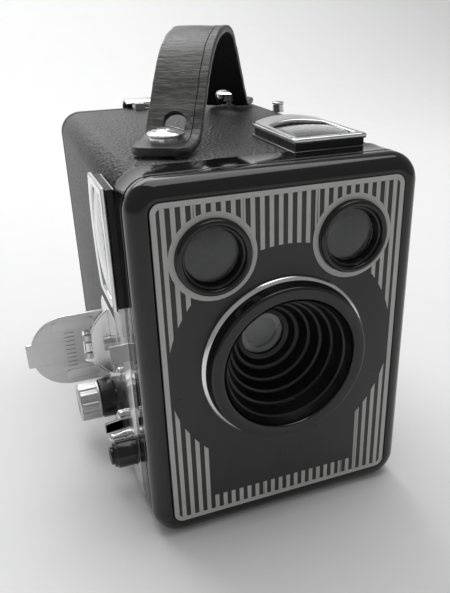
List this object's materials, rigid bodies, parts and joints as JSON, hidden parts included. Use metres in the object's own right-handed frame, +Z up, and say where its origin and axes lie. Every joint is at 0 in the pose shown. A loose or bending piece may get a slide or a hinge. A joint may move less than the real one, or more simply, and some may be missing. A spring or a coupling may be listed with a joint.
{
  "type": "box camera",
  "caption": "Leatherette covered box camera with a striped enamel front, reflecting finders, folding winding key, release button, carrying strap and hinged back.",
  "frame": {"origin": "centre of the flat underside of the case, midway between the front plate and the back", "axes": "+X to the right seen from the front, +Y from front to back along the lens axis, +Z up"},
  "size_m": [0.1051, 0.1287, 0.1335],
  "materials": {
    "black_paint": "matt black paint on sheet steel",
    "leatherette": "fine pebble grain covering, black",
    "polished_plate": "polished, mirror-like",
    "enamel": "gloss black enamel",
    "printed_plate": "satin black print with silver-white stripes",
    "glass": "clear, polished",
    "brass": "turned",
    "mirror": "front silvered",
    "chrome": "bright plated",
    "steel": "plain strip",
    "satin_metal": "satin, lightly worn",
    "yellow_gel": "clear yellow filter",
    "red_gel": "translucent red",
    "leather": "creased black leather, worn"
  },
  "bodies": {
    "camera": {"body_shell": "black_paint", "leatherette_wrap": "leatherette", "side_plate": "polished_plate", "front_bezel": "enamel", "front_plate": "printed_plate", "lens_ring": "enamel", "lens_hood": "black_paint", "cover_glass": "glass", "meniscus_lens": "glass", "lens_retainer": "brass", "finder_bezel_left": "enamel", "finder_objective_left": "glass", "finder_bezel_right": "enamel", "finder_objective_right": "glass", "finder_mirror_left": "mirror", "finder_mirror_right": "mirror", "top_finder_box": "black_paint", "top_finder_frame": "chrome", "top_finder_lens": "glass", "side_finder_box": "black_paint", "side_finder_frame": "chrome", "side_finder_lens": "glass", "shutter_board": "steel", "shutter_spring": "steel", "release_guide": "black_paint", "flash_pin": "satin_metal", "flash_screw": "satin_metal", "side_screw": "satin_metal", "knob_collar": "black_paint", "supply_pin": "steel", "spool_spring": "steel", "film_cone": "black_paint", "back_hinge_pin": "steel", "latch_hinge": "satin_metal", "strap": "leather", "strap_stud_front": "chrome", "strap_stud_rear": "chrome", "top_stud": "chrome", "tripod_bush": "brass"},
    "back": {"back_cover": "black_paint", "back_leatherette": "leatherette", "red_window": "red_gel"},
    "latch": {"latch_clip": "chrome"},
    "key": {"key_shaft": "satin_metal", "key_gear": "brass", "key_stub": "satin_metal", "key_hinge_pin": "chrome"},
    "key_wing": {"key_wing": "satin_metal"},
    "takeup": {"spool_gear": "brass", "spool_knob": "satin_metal", "takeup_spool": "black_paint"},
    "supply": {"supply_spool": "black_paint"},
    "roller_lower": {"film_roller_lower": "satin_metal"},
    "roller_upper": {"film_roller_upper": "satin_metal"},
    "button": {"release_button": "enamel"},
    "lever": {"release_lever": "steel"},
    "shutter": {"shutter_disc": "steel"},
    "time_lever": {"time_lever": "satin_metal"},
    "filter": {"filter_slide": "steel", "yellow_filter": "yellow_gel"}
  },
  "joints": [
    {"name": "back_hinge", "type": "hinge", "parent": "camera", "child": "back", "pos_m": [0, 0.0536, 0.0019], "axis": [-1, 0, 0], "range_deg": [0, 90]},
    {"name": "latch_swing", "type": "hinge", "parent": "camera", "child": "latch", "pos_m": [0, 0.052, 0.1051], "axis": [1, 0, 0], "range_deg": [0, 60], "stiffness_Nm_per_rad": 0.02},
    {"name": "winding_key", "type": "hinge", "parent": "camera", "child": "key", "pos_m": [-0.0395, -0.011, 0.0405], "axis": [1, 0, 0], "continuous": true},
    {"name": "key_fold", "type": "hinge", "parent": "key", "child": "key_wing", "pos_m": [-0.0465, -0.011, 0.0405], "axis": [0, 0, 1], "range_deg": [-90, 0]},
    {"name": "takeup_turn", "type": "hinge", "parent": "camera", "child": "takeup", "pos_m": [-0.0395, -0.003, 0.0153], "axis": [1, 0, 0], "continuous": true},
    {"name": "supply_turn", "type": "hinge", "parent": "camera", "child": "supply", "pos_m": [0, -0.001, 0.0885], "axis": [1, 0, 0], "continuous": true},
    {"name": "roller_lower_turn", "type": "hinge", "parent": "camera", "child": "roller_lower", "pos_m": [0, 0.049, 0.0063], "axis": [1, 0, 0], "continuous": true},
    {"name": "roller_upper_turn", "type": "hinge", "parent": "camera", "child": "roller_upper", "pos_m": [0, 0.049, 0.0973], "axis": [1, 0, 0], "continuous": true},
    {"name": "release_press", "type": "slide", "parent": "camera", "child": "button", "axis": [1, 0, 0], "range_m": [0, 0.0025], "stiffness_N_per_m": 300, "springref_m": -0.0005},
    {"name": "release_lever_swing", "type": "hinge", "parent": "camera", "child": "lever", "pos_m": [-0.022, -0.0381, 0.027], "axis": [0, -1, 0], "range_deg": [0, 12.1]},
    {"name": "shutter_swing", "type": "hinge", "parent": "camera", "child": "shutter", "pos_m": [0.01, -0.0393, 0.038], "axis": [0, -1, 0], "range_deg": [0, 60.5]},
    {"name": "time_slide", "type": "slide", "parent": "camera", "child": "time_lever", "axis": [0, 0, 1], "range_m": [0, 0.004]},
    {"name": "filter_pull", "type": "slide", "parent": "camera", "child": "filter", "axis": [-1, 0, 0], "range_m": [0, 0.013]}
  ],
  "couplings": [
    {"joint": "takeup_turn", "follows": "winding_key", "ratio": -1.5},
    {"joint": "release_lever_swing", "follows": "release_press", "rad_per_m": 83.776},
    {"joint": "shutter_swing", "follows": "release_press", "rad_per_m": 418.88}
  ]
}
